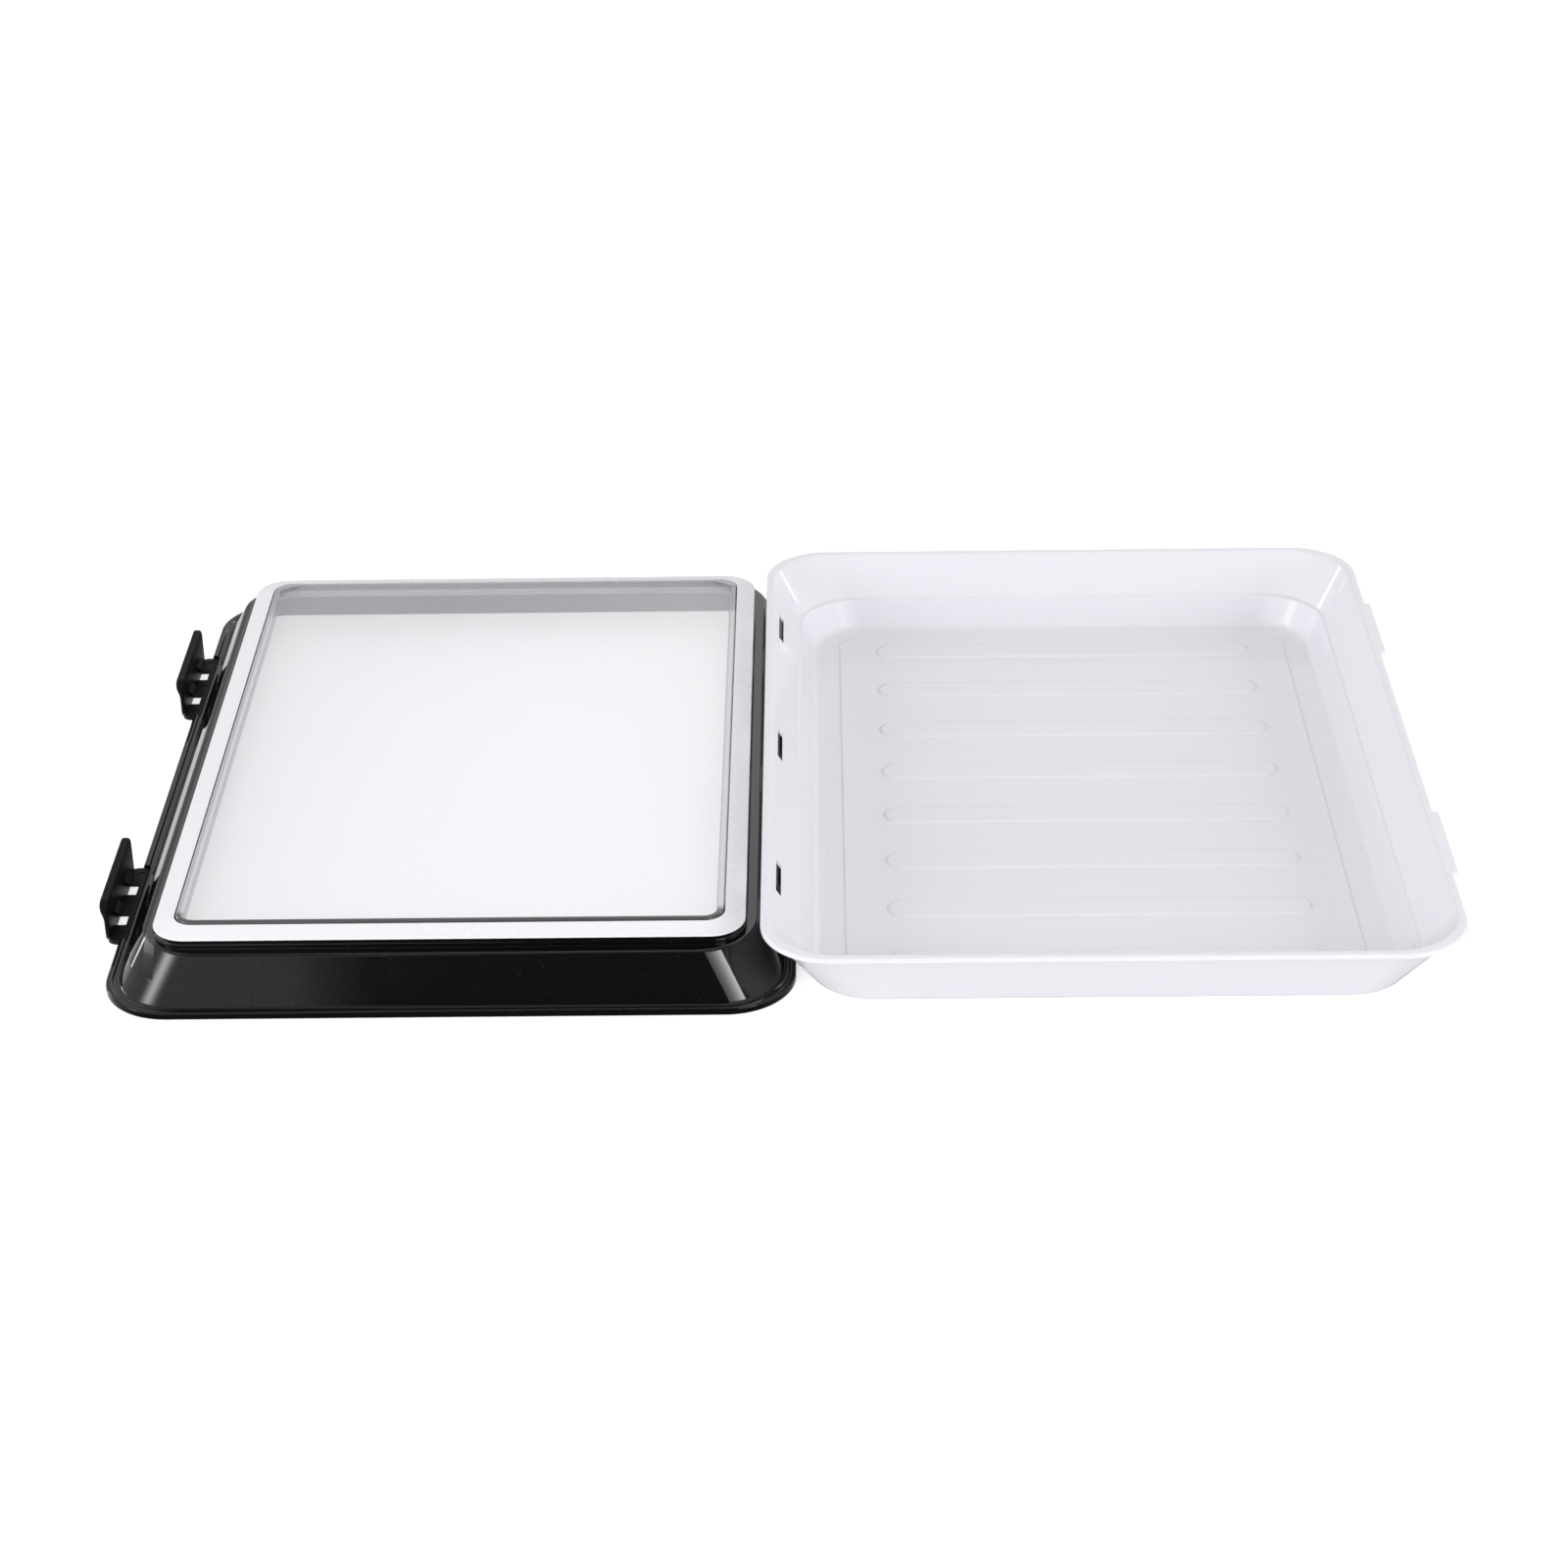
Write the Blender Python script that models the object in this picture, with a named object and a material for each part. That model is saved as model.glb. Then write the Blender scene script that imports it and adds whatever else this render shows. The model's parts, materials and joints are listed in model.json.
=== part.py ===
# Food storage tray with a vacuum lid of stretched film, laid open like a book.
# The tray stands on its base at +X. The lid lies upside down at -X: its flange is on the table,
# its film faces up, and its right-hand edge is tucked under the tray's left-hand rim.
# Metres, +Z up, +Y away from the viewer. The origin is on the table under the middle of the whole.

import math

import bmesh
import bpy

# Outline that the tray's rim and the lid's flange share
RIM_WIDTH = 0.230
RIM_LENGTH = 0.306
RIM_CORNER_RADIUS = 0.0231
CORNER_STEPS = 8
PIECE_GAP = 0.0003

# Tray shell
TRAY_HEIGHT = 0.027
FLOOR_THICKNESS = 0.0018
RIM_LAND = 0.0029
RIM_EDGE = 0.0019
RIM_UNDERCUT = 0.0020
RIM_ROUND = 0.0005
LEDGE_INSET = 0.0124
LEDGE_DEPTH = 0.0148
LEDGE_STEP = 0.0010
LEDGE_CORNER_RADIUS = 0.0222
FLOOR_INSET = 0.0198
FLOOR_FILLET = 0.0026
FLOOR_CORNER_RADIUS = 0.0190
FILLET_STEPS = 4
PANEL_INSET = 0.0280
PANEL_RISE = 0.0003
PANEL_SLOPE = 0.0004
PANEL_CORNER_RADIUS = 0.0060

# Ribs on the tray's floor
RIB_COUNT = 8
RIB_SPACING = 0.03235
RIB_LENGTH = 0.1450
RIB_WIDTH = 0.0115
RIB_HEIGHT = 0.0007
RIB_ROUND = 0.0004
RIB_END_STEPS = 8

# Slots in the tray's left wall, for the lid's tongues
SLOT_COUNT = 3
SLOT_SPACING = 0.0938
SLOT_LENGTH = 0.0200
SLOT_HEIGHT = 0.0030
SLOT_DEPTH = 0.0047
SLOT_EDGE = 0.0003
POCKET_SKIN = 0.0009
POCKET_MARGIN = 0.0045
POCKET_HEADROOM = 0.0006
POCKET_FOOTROOM = 0.0035

# Catch tabs on the tray's right rim, for the lid's latches
TAB_COUNT = 2
TAB_SPACING = 0.1620
TAB_LENGTH = 0.0415
TAB_REACH = 0.0020
TAB_ROUND = 0.0012

# Lid frame
LIP_SETBACK = 0.0004
LIP_HEIGHT = 0.0026
LIP_WIDTH = 0.0018
LIP_FOOT_ROUND = 0.0006
LIP_TOP_ROUND = 0.0008
FLANGE_THICKNESS = 0.0017
LIP_CHAMFER = 0.0006
SKIRT_CLEARANCE = 0.0015
SKIRT_WALL = 0.0019
SKIRT_FOOT_WALL = 0.0035
SEAT_CLEARANCE = 0.0003
LEDGE_PLATE = 0.0016
LEDGE_WIDTH = 0.0042
COLLAR_HEIGHT = 0.0029
COLLAR_WALL = 0.0018
COLLAR_BEAD = 0.0003
FRAME_TOP_PLATE = 0.0014
UPSTAND_WALL = 0.0004
UPSTAND_DROP = 0.0004
COLLAR_CORNER_RADIUS = 0.0118
OPENING_CORNER_RADIUS = 0.0070
LATCH_RELIEF = 0.0004

# Tongues on the lid's right skirt
TONGUE_CLEARANCE = 0.0004
TONGUE_TIP_PROUD = 0.0004

# White sealing ring
RING_WIDTH = 0.0063
RING_EDGE = 0.0004
RING_CROWN = 0.0017
RING_ROUND = 0.0006
RING_LAND = 0.0024

# Clear rim that holds the film
FILM_RIM_WIDTH = 0.0023
FILM_RIM_FOOT = 0.0005
FILM_RIM_PROUD = 0.0009
FILM_RIM_STEPS = 5

# Stretched film
FILM_THICKNESS = 0.0005
FILM_SINK = 0.0015

# Latches on the lid's left flange
LATCH_COUNT = 2
WEB_LENGTH = 0.0486
WEB_THICKNESS = 0.0016
WEB_CORNER_RADIUS = 0.0035
ROOT_STEPS = 6
HINGE_CLEARANCE = 0.0003
HINGE_INSET = 0.0019
PADDLE_LENGTH = 0.0480
PADDLE_HEIGHT = 0.0158
PADDLE_WALL = 0.0014
PADDLE_TOP_WIDTH = 0.0026
PADDLE_FLARE = 0.0014
FLARE_HEIGHT = 0.0068
FLARE_STEPS = 4
PADDLE_TOP_RADIUS = 0.0045
PADDLE_FOOT_RADIUS = 0.0030
TAB_CLEARANCE = 0.0007
WINDOW_LENGTH = 0.0080
WINDOW_WIDTH = 0.0035
WINDOW_SPACING = 0.0200
HOOK_LENGTH = 0.0074
HOOK_BITE = 0.0008
HOOK_HEIGHT = 0.0024
HOOK_CLEARANCE = 0.0003

# Where the lid lies beside the tray
LID_TUCK = 0.0119
LID_OFFSET_Y = 0.0091

HALF_WIDTH = RIM_WIDTH / 2
HALF_LENGTH = RIM_LENGTH / 2
LEDGE_Z = TRAY_HEIGHT - LEDGE_DEPTH
RIM_UNDERSIDE_Z = TRAY_HEIGHT - RIM_EDGE
FILLET_CENTRE_Z = FLOOR_THICKNESS + FLOOR_FILLET
PANEL_Z = FLOOR_THICKNESS + PANEL_RISE
SLOT_Z = TRAY_HEIGHT - SLOT_DEPTH

# Closed, the lip's top rests on the tray's rim, so heights on the lid follow depths in the tray.
LID_LEDGE_Z = LIP_HEIGHT + LEDGE_DEPTH - SEAT_CLEARANCE
LID_LEDGE_INSET = LEDGE_INSET + SEAT_CLEARANCE
SKIRT_FOOT_INSET = RIM_LAND + SKIRT_CLEARANCE
COLLAR_INSET = LID_LEDGE_INSET + LEDGE_WIDTH
FRAME_TOP_Z = LID_LEDGE_Z + COLLAR_HEIGHT
TONGUE_Z = LIP_HEIGHT + SLOT_DEPTH
RING_INNER_INSET = COLLAR_INSET + RING_WIDTH
UPSTAND_INSET = RING_INNER_INSET + PIECE_GAP
FRAME_INNER_INSET = UPSTAND_INSET + UPSTAND_WALL
FILM_RIM_INSET = FRAME_INNER_INSET + PIECE_GAP
FOOT_INSET = COLLAR_INSET + RING_LAND
PLATE_UNDER_Z = FRAME_TOP_Z - FRAME_TOP_PLATE
RING_BASE_Z = FRAME_TOP_Z + PIECE_GAP
RING_TOP_Z = RING_BASE_Z + RING_CROWN
UPSTAND_TOP_Z = RING_TOP_Z - UPSTAND_DROP
FILM_TOP_Z = RING_TOP_Z - FILM_SINK

HINGE_X = -HALF_WIDTH + HINGE_INSET
HINGE_Z = WEB_THICKNESS / 2
ROOT_RADIUS = WEB_THICKNESS / 2
NOTCH_INSET = HINGE_INSET + ROOT_RADIUS + HINGE_CLEARANCE
PADDLE_IN = HINGE_INSET + TAB_REACH + TAB_CLEARANCE
PADDLE_OUT = PADDLE_IN + PADDLE_WALL

LEFT_REACH = HALF_WIDTH - HINGE_INSET + PADDLE_OUT + PADDLE_FLARE
RIGHT_REACH = HALF_WIDTH + TAB_REACH
CENTRES_APART = RIM_WIDTH - LID_TUCK
OVERALL_X = LEFT_REACH + CENTRES_APART + RIGHT_REACH
LID_CENTRE = (LEFT_REACH - OVERALL_X / 2, (LID_OFFSET_Y + LIP_SETBACK) / 2, 0.0)
TRAY_CENTRE = (OVERALL_X / 2 - RIGHT_REACH, (LIP_SETBACK - LID_OFFSET_Y) / 2, 0.0)


def make_material(name, colour, roughness, alpha=1.0):
    material = bpy.data.materials.new(name)
    material.use_nodes = True
    shader = material.node_tree.nodes["Principled BSDF"]
    shader.inputs["Base Color"].default_value = (*colour, 1.0)
    shader.inputs["Roughness"].default_value = roughness
    shader.inputs["Metallic"].default_value = 0.0
    shader.inputs["Alpha"].default_value = alpha
    return material


def make_empty(name, location):
    empty = bpy.data.objects.new(name, None)
    bpy.context.scene.collection.objects.link(empty)
    empty.location = location
    return empty


def make_object(name, bm, parent, material=None, location=(0.0, 0.0, 0.0)):
    bmesh.ops.recalc_face_normals(bm, faces=bm.faces)
    mesh = bpy.data.meshes.new(name)
    bm.to_mesh(mesh)
    bm.free()
    mesh.shade_smooth()
    mesh.set_sharp_from_angle(angle=math.radians(35))
    obj = bpy.data.objects.new(name, mesh)
    bpy.context.scene.collection.objects.link(obj)
    obj.parent = parent
    obj.location = location
    if material:
        mesh.materials.append(material)
    return obj


def combine(target, helper, operation):
    helper.hide_render = True
    helper.display_type = "WIRE"
    boolean = target.modifiers.new(helper.name, "BOOLEAN")
    boolean.operation = operation
    boolean.solver = "EXACT"
    boolean.object = helper


def spread(count, spacing):
    return [(i - (count - 1) / 2) * spacing for i in range(count)]


def rounded_outline(half_x, half_y, radius, steps=CORNER_STEPS):
    # Points of a rectangle with round corners, anticlockwise from the +X side
    radius = min(radius, half_x, half_y)
    corners = ((1, 1, 0), (-1, 1, 90), (-1, -1, 180), (1, -1, 270))
    points = []
    for side_x, side_y, start in corners:
        for step in range(steps + 1):
            angle = math.radians(start + 90 * step / steps)
            x = side_x * (half_x - radius) + radius * math.cos(angle)
            y = side_y * (half_y - radius) + radius * math.sin(angle)
            points.append((x, y))
    return points


def loft(profile, closed):
    # Carries a profile of (inset, height, corner radius) round the rim's outline
    bm = bmesh.new()
    rings = []
    for inset, z, radius in profile:
        points = rounded_outline(HALF_WIDTH - inset, HALF_LENGTH - inset, radius)
        rings.append([bm.verts.new((x, y, z)) for x, y in points])
    pairs = list(zip(rings, rings[1:]))
    if closed:
        pairs.append((rings[-1], rings[0]))
    for lower, upper in pairs:
        for i in range(len(lower)):
            j = (i + 1) % len(lower)
            bm.faces.new((lower[i], lower[j], upper[j], upper[i]))
    if not closed:
        bm.faces.new(reversed(rings[0]))
        bm.faces.new(rings[-1])
    return bm


def add_prism(bm, points, low, high, place):
    # Extrudes an outline; place turns (a, b, height) into a corner
    bottom = [bm.verts.new(place(a, b, low)) for a, b in points]
    top = [bm.verts.new(place(a, b, high)) for a, b in points]
    for i in range(len(points)):
        j = (i + 1) % len(points)
        bm.faces.new((bottom[i], bottom[j], top[j], top[i]))
    bm.faces.new(reversed(bottom))
    bm.faces.new(top)


def add_box(bm, x_range, y_range, z_range):
    corners = [(x_range[0], y_range[0]), (x_range[1], y_range[0])]
    corners += [(x_range[1], y_range[1]), (x_range[0], y_range[1])]
    add_prism(bm, corners, z_range[0], z_range[1], lambda a, b, c: (a, b, c))


def tangent_arc(start, centre, radius, steps):
    # Arc that a straight line from start touches, down to its lowest point; (inset, height) pairs
    out = centre[0] - start[0]
    up = start[1] - centre[1]
    reach = math.hypot(out, up)
    first = math.atan2(up, out) - math.acos(radius / reach)
    angles = [first + (-math.pi / 2 - first) * i / steps for i in range(steps + 1)]
    return [(centre[0] - radius * math.cos(a), centre[1] + radius * math.sin(a)) for a in angles]


def tray_corner_radius(z):
    # Corners are tight at the base, and widen up to the ledge and the rim
    if z < LEDGE_Z:
        share = max(z, 0.0) / LEDGE_Z
        return FLOOR_CORNER_RADIUS + share * (LEDGE_CORNER_RADIUS - FLOOR_CORNER_RADIUS)
    share = (z - LEDGE_Z) / LEDGE_DEPTH
    return LEDGE_CORNER_RADIUS + share * (RIM_CORNER_RADIUS - LEDGE_CORNER_RADIUS)


def tray_outer_wall():
    centre = (FLOOR_INSET, FILLET_CENTRE_Z)
    return tangent_arc((RIM_UNDERCUT, RIM_UNDERSIDE_Z), centre, FILLET_CENTRE_Z, FILLET_STEPS)


def outer_wall_inset(z):
    # Inset of the tray wall's outer face at a height between base and rim
    foot = tray_outer_wall()[0]
    share = (RIM_UNDERSIDE_Z - z) / (RIM_UNDERSIDE_Z - foot[1])
    return RIM_UNDERCUT + share * (foot[0] - RIM_UNDERCUT)


def inner_wall_inset(z):
    # Inset of the tray wall's inner face at a height between ledge and rim
    top_inset = RIM_LAND + RIM_ROUND / 2
    top_z = TRAY_HEIGHT - RIM_ROUND
    share = (top_z - z) / (top_z - LEDGE_Z)
    return top_inset + share * (LEDGE_INSET - top_inset)


def make_tray(parent, material):
    ledge_foot = (LEDGE_INSET + LEDGE_STEP, LEDGE_Z)
    inner_arc = tangent_arc(ledge_foot, (FLOOR_INSET, FILLET_CENTRE_Z), FLOOR_FILLET, FILLET_STEPS)
    section = list(reversed(tray_outer_wall()))
    section += [
        (RIM_UNDERCUT, RIM_UNDERSIDE_Z),
        (0.0, RIM_UNDERSIDE_Z),
        (0.0, TRAY_HEIGHT - RIM_ROUND),
        (RIM_ROUND, TRAY_HEIGHT),
        (RIM_LAND - RIM_ROUND, TRAY_HEIGHT),
        (RIM_LAND + RIM_ROUND / 2, TRAY_HEIGHT - RIM_ROUND),
        (LEDGE_INSET, LEDGE_Z),
        ledge_foot,
    ]
    section += inner_arc
    profile = [(inset, z, tray_corner_radius(z)) for inset, z in section]
    profile.append((PANEL_INSET, FLOOR_THICKNESS, PANEL_CORNER_RADIUS))
    profile.append((PANEL_INSET + PANEL_SLOPE, PANEL_Z, PANEL_CORNER_RADIUS))
    tray = make_object("tray", loft(profile, closed=False), parent, material)
    combine(tray, make_ribs(parent), "UNION")
    combine(tray, make_tabs(parent), "UNION")
    combine(tray, make_pocket_cutter(parent), "DIFFERENCE")
    combine(tray, make_slot_cutter(parent), "DIFFERENCE")
    return tray


def make_ribs(parent):
    bm = bmesh.new()
    top = PANEL_Z + RIB_HEIGHT
    levels = ((FLOOR_THICKNESS / 2, 0.0), (top - RIB_ROUND, 0.0), (top, RIB_ROUND))
    for y in spread(RIB_COUNT, RIB_SPACING):
        rings = []
        for z, inset in levels:
            half_x = RIB_LENGTH / 2 - inset
            half_y = RIB_WIDTH / 2 - inset
            outline = rounded_outline(half_x, half_y, half_y, RIB_END_STEPS // 2)
            rings.append([bm.verts.new((px, py + y, z)) for px, py in outline])
        for lower, upper in zip(rings, rings[1:]):
            for i in range(len(lower)):
                j = (i + 1) % len(lower)
                bm.faces.new((lower[i], lower[j], upper[j], upper[i]))
        bm.faces.new(reversed(rings[0]))
        bm.faces.new(rings[-1])
    bmesh.ops.remove_doubles(bm, verts=bm.verts, dist=0.00001)
    return make_object("tray_rib_shapes", bm, parent)


def make_tabs(parent):
    bm = bmesh.new()
    for y in spread(TAB_COUNT, TAB_SPACING):
        bottom_x = HALF_WIDTH - RIM_LAND / 2
        outer_x = HALF_WIDTH + TAB_REACH
        low_y = y - TAB_LENGTH / 2
        high_y = y + TAB_LENGTH / 2
        outline = [
            (bottom_x, low_y),
            (outer_x - TAB_ROUND, low_y),
            (outer_x, low_y + TAB_ROUND),
            (outer_x, high_y - TAB_ROUND),
            (outer_x - TAB_ROUND, high_y),
            (bottom_x, high_y),
        ]
        tab_top = TRAY_HEIGHT - RIM_ROUND / 2
        add_prism(bm, outline, RIM_UNDERSIDE_Z + RIM_ROUND / 2, tab_top, lambda a, b, c: (a, b, c))
    return make_object("tray_tab_shapes", bm, parent)


def add_wall_cuts(bm, section, length):
    # Runs an (inset, height) section along the left wall at each slot
    for y in spread(SLOT_COUNT, SLOT_SPACING):
        low, high = y - length / 2, y + length / 2
        add_prism(bm, section, low, high, lambda inset, z, along: (inset - HALF_WIDTH, along, z))


def make_pocket_cutter(parent):
    # Thins the wall from outside round each slot, in a pocket that is open to below
    bm = bmesh.new()
    top = SLOT_Z + SLOT_HEIGHT / 2 + POCKET_HEADROOM
    foot = SLOT_Z - SLOT_HEIGHT / 2 - POCKET_FOOTROOM
    section = [
        (RIM_ROUND, LEDGE_Z),
        (RIM_ROUND, top),
        (inner_wall_inset(top) - POCKET_SKIN, top),
        (inner_wall_inset(foot) - POCKET_SKIN, foot),
        (inner_wall_inset(foot) - POCKET_SKIN, LEDGE_Z),
    ]
    add_wall_cuts(bm, section, SLOT_LENGTH + 2 * POCKET_MARGIN)
    return make_object("tray_pocket_cutter", bm, parent)


def make_slot_cutter(parent):
    # Each slot goes through level for the tongue, and also straight down, as the mould parts
    bm = bmesh.new()
    top = SLOT_Z + SLOT_HEIGHT / 2
    foot = SLOT_Z - SLOT_HEIGHT / 2
    edge = inner_wall_inset(foot) - SLOT_EDGE
    section = [
        (RIM_ROUND, LEDGE_Z),
        (RIM_ROUND, top),
        (LEDGE_INSET, top),
        (LEDGE_INSET, foot),
        (edge, foot),
        (edge, LEDGE_Z),
    ]
    add_wall_cuts(bm, section, SLOT_LENGTH)
    return make_object("tray_slot_cutter", bm, parent)


def collar_corner_radius(inset):
    # Corners tighten from the collar to the film's opening and on towards the film
    share = (inset - COLLAR_INSET) / (RING_INNER_INSET - COLLAR_INSET)
    return COLLAR_CORNER_RADIUS + share * (OPENING_CORNER_RADIUS - COLLAR_CORNER_RADIUS)


def inner_section(points):
    return [(inset, z, collar_corner_radius(inset)) for inset, z in points]


def skirt_inset(z):
    # Inset of the skirt's outer face
    share = (z - FLANGE_THICKNESS) / (LID_LEDGE_Z - FLANGE_THICKNESS)
    return SKIRT_FOOT_INSET + share * (LID_LEDGE_INSET - SKIRT_FOOT_INSET)


def flange_section():
    # Lip and flange, from the table up and in to the skirt's foot
    points = [
        (LIP_SETBACK + LIP_FOOT_ROUND, 0.0),
        (LIP_SETBACK, LIP_FOOT_ROUND),
        (LIP_SETBACK, LIP_HEIGHT - LIP_TOP_ROUND),
        (LIP_SETBACK + LIP_TOP_ROUND, LIP_HEIGHT),
        (LIP_SETBACK + LIP_WIDTH, LIP_HEIGHT),
        (LIP_SETBACK + LIP_WIDTH + LIP_CHAMFER, FLANGE_THICKNESS),
    ]
    tightening = SKIRT_CLEARANCE / SKIRT_FOOT_INSET
    return [(inset, z, RIM_CORNER_RADIUS - tightening * inset) for inset, z in points]


def make_lid_frame(parent, material):
    foot_radius = RIM_CORNER_RADIUS - SKIRT_CLEARANCE
    ledge_radius = LEDGE_CORNER_RADIUS - SEAT_CLEARANCE
    ledge_under = LID_LEDGE_Z - LEDGE_PLATE
    collar_mid = (LID_LEDGE_Z + FRAME_TOP_Z) / 2
    section = flange_section()
    section.append((SKIRT_FOOT_INSET, FLANGE_THICKNESS, foot_radius))
    section.append((LID_LEDGE_INSET, LID_LEDGE_Z, ledge_radius))
    section += inner_section(
        [
            (COLLAR_INSET - COLLAR_BEAD, LID_LEDGE_Z),
            (COLLAR_INSET - COLLAR_BEAD, collar_mid),
            (COLLAR_INSET, collar_mid + COLLAR_BEAD),
            (COLLAR_INSET, FRAME_TOP_Z),
            (UPSTAND_INSET, FRAME_TOP_Z),
            (UPSTAND_INSET, UPSTAND_TOP_Z),
            (FRAME_INNER_INSET, UPSTAND_TOP_Z),
            (FRAME_INNER_INSET, PLATE_UNDER_Z),
            (COLLAR_INSET + COLLAR_WALL, PLATE_UNDER_Z),
            (COLLAR_INSET + COLLAR_WALL, ledge_under),
        ]
    )
    section.append((skirt_inset(ledge_under) + SKIRT_WALL, ledge_under, ledge_radius - SKIRT_WALL))
    section.append((skirt_inset(0.0) + SKIRT_FOOT_WALL, 0.0, foot_radius - SKIRT_FOOT_WALL))
    frame = make_object("lid_frame", loft(section, closed=True), parent, material)
    combine(frame, make_tongues(parent), "UNION")
    combine(frame, make_notch_cutter(parent), "DIFFERENCE")
    return frame


def make_tongues(parent):
    bm = bmesh.new()
    root_x = HALF_WIDTH - skirt_inset(TONGUE_Z) - SKIRT_WALL / 2
    tip_x = HALF_WIDTH - outer_wall_inset(SLOT_Z) + TONGUE_TIP_PROUD
    half_length = SLOT_LENGTH / 2 - TONGUE_CLEARANCE
    half_height = SLOT_HEIGHT / 2 - TONGUE_CLEARANCE
    for y in spread(SLOT_COUNT, SLOT_SPACING):
        y_range = (y - half_length, y + half_length)
        add_box(bm, (root_x, tip_x), y_range, (TONGUE_Z - half_height, TONGUE_Z + half_height))
    return make_object("lid_tongue_shapes", bm, parent)


def make_notch_cutter(parent):
    # Opens the flange's left edge where the latches are hinged
    bm = bmesh.new()
    half = WEB_LENGTH / 2 + LATCH_RELIEF
    for y in spread(LATCH_COUNT, TAB_SPACING):
        x_range = (-HALF_WIDTH - LIP_WIDTH, -HALF_WIDTH + NOTCH_INSET)
        add_box(bm, x_range, (y - half, y + half), (-LIP_HEIGHT, 2 * LIP_HEIGHT))
    return make_object("lid_notch_cutter", bm, parent)


def make_sealing_ring(parent, material):
    section = [
        (COLLAR_INSET, RING_BASE_Z),
        (COLLAR_INSET, RING_BASE_Z + RING_EDGE),
        (RING_INNER_INSET - RING_ROUND, RING_TOP_Z),
        (RING_INNER_INSET, RING_TOP_Z - RING_ROUND),
        (RING_INNER_INSET, RING_BASE_Z),
    ]
    return make_object("sealing_ring", loft(inner_section(section), closed=True), parent, material)


def make_film_rim(parent, material):
    foot_z = PLATE_UNDER_Z - PIECE_GAP - FILM_RIM_FOOT
    radius = FILM_RIM_WIDTH / 2
    centre = (FILM_RIM_INSET + radius, RING_TOP_Z + FILM_RIM_PROUD - radius)
    section = [(FOOT_INSET, foot_z), (FOOT_INSET, foot_z + FILM_RIM_FOOT)]
    section.append((FILM_RIM_INSET, foot_z + FILM_RIM_FOOT))
    for step in range(FILM_RIM_STEPS + 1):
        angle = math.pi * (1 - step / FILM_RIM_STEPS)
        section.append((centre[0] + radius * math.cos(angle), centre[1] + radius * math.sin(angle)))
    section.append((FILM_RIM_INSET + FILM_RIM_WIDTH, foot_z))
    return make_object("film_rim", loft(inner_section(section), closed=True), parent, material)


def make_film(parent, material):
    inset = FILM_RIM_INSET + FILM_RIM_WIDTH + PIECE_GAP
    section = [(inset, FILM_TOP_Z - FILM_THICKNESS), (inset, FILM_TOP_Z)]
    return make_object("stretch_film", loft(inner_section(section), closed=False), parent, material)


def web_section():
    # Web seen along the hinge, (outward, height) from the axis, its root rounded about the axis
    half = WEB_THICKNESS / 2
    section = [(PADDLE_OUT, -half), (PADDLE_OUT, half)]
    for step in range(ROOT_STEPS + 1):
        angle = math.pi * (0.5 + step / ROOT_STEPS)
        section.append((half * math.cos(angle), half * math.sin(angle)))
    return section


def make_web(bm):
    half = WEB_LENGTH / 2
    add_prism(bm, web_section(), -half, half, lambda out, z, along: (-out, along, z))
    outer = [e for e in bm.edges if all(v.co.x < -PADDLE_IN for v in e.verts)]
    upright = [e for e in outer if abs(e.verts[0].co.z - e.verts[1].co.z) > WEB_THICKNESS / 2]
    bmesh.ops.bevel(
        bm,
        geom=upright,
        offset=WEB_CORNER_RADIUS,
        segments=FILLET_STEPS,
        profile=0.5,
        affect="EDGES",
    )


def paddle_section():
    # Paddle seen along the hinge: (outward, height) from the axis, its top flared outwards
    top = PADDLE_HEIGHT - HINGE_Z
    section = [(PADDLE_IN, 0.0), (PADDLE_OUT, 0.0)]
    for step in range(FLARE_STEPS + 1):
        share = step / FLARE_STEPS
        ease = share * share * (3 - 2 * share)
        section.append((PADDLE_OUT + PADDLE_FLARE * ease, top - FLARE_HEIGHT * (1 - share)))
    section.append((PADDLE_OUT + PADDLE_FLARE - PADDLE_TOP_WIDTH, top))
    section.append((PADDLE_IN, top - FLARE_HEIGHT / 2))
    return section


def make_latch(name, y, parent, material):
    # The origin is on the hinge axis; outward is -X
    bm = bmesh.new()
    make_web(bm)
    latch = make_object(name, bm, parent, material, (HINGE_X, y, HINGE_Z))
    combine(latch, make_paddle(name, latch), "UNION")
    combine(latch, make_window_cutter(name, latch), "DIFFERENCE")
    combine(latch, make_hooks(name, latch), "UNION")
    return latch


def make_paddle(name, latch):
    bm = bmesh.new()
    half = PADDLE_LENGTH / 2
    add_prism(bm, paddle_section(), -half, half, lambda out, z, along: (-out, along, z))
    paddle = make_object(name + "_paddle_shape", bm, latch)
    combine(paddle, make_paddle_trim(name, latch), "INTERSECT")
    return paddle


def make_paddle_trim(name, latch):
    # Rounds the paddle's four corners, seen from the side
    bm = bmesh.new()
    half = PADDLE_LENGTH / 2
    top = PADDLE_HEIGHT - HINGE_Z
    quarter = [math.radians(90 * step / FILLET_STEPS) for step in range(FILLET_STEPS + 1)]
    corners = (
        (1, top, PADDLE_TOP_RADIUS, 0),
        (-1, top, PADDLE_TOP_RADIUS, 90),
        (-1, 0.0, PADDLE_FOOT_RADIUS, 180),
        (1, 0.0, PADDLE_FOOT_RADIUS, 270),
    )
    points = []
    for side, level, radius, start in corners:
        centre_z = level - radius if level > 0 else level + radius
        for turn in quarter:
            angle = math.radians(start) + turn
            along = side * (half - radius) + radius * math.cos(angle)
            points.append((along, centre_z + radius * math.sin(angle)))
    reach = PADDLE_OUT + PADDLE_FLARE
    add_prism(bm, points, PADDLE_IN / 2, 2 * reach, lambda along, z, out: (-out, along, z))
    return make_object(name + "_paddle_trim", bm, latch)


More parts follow.
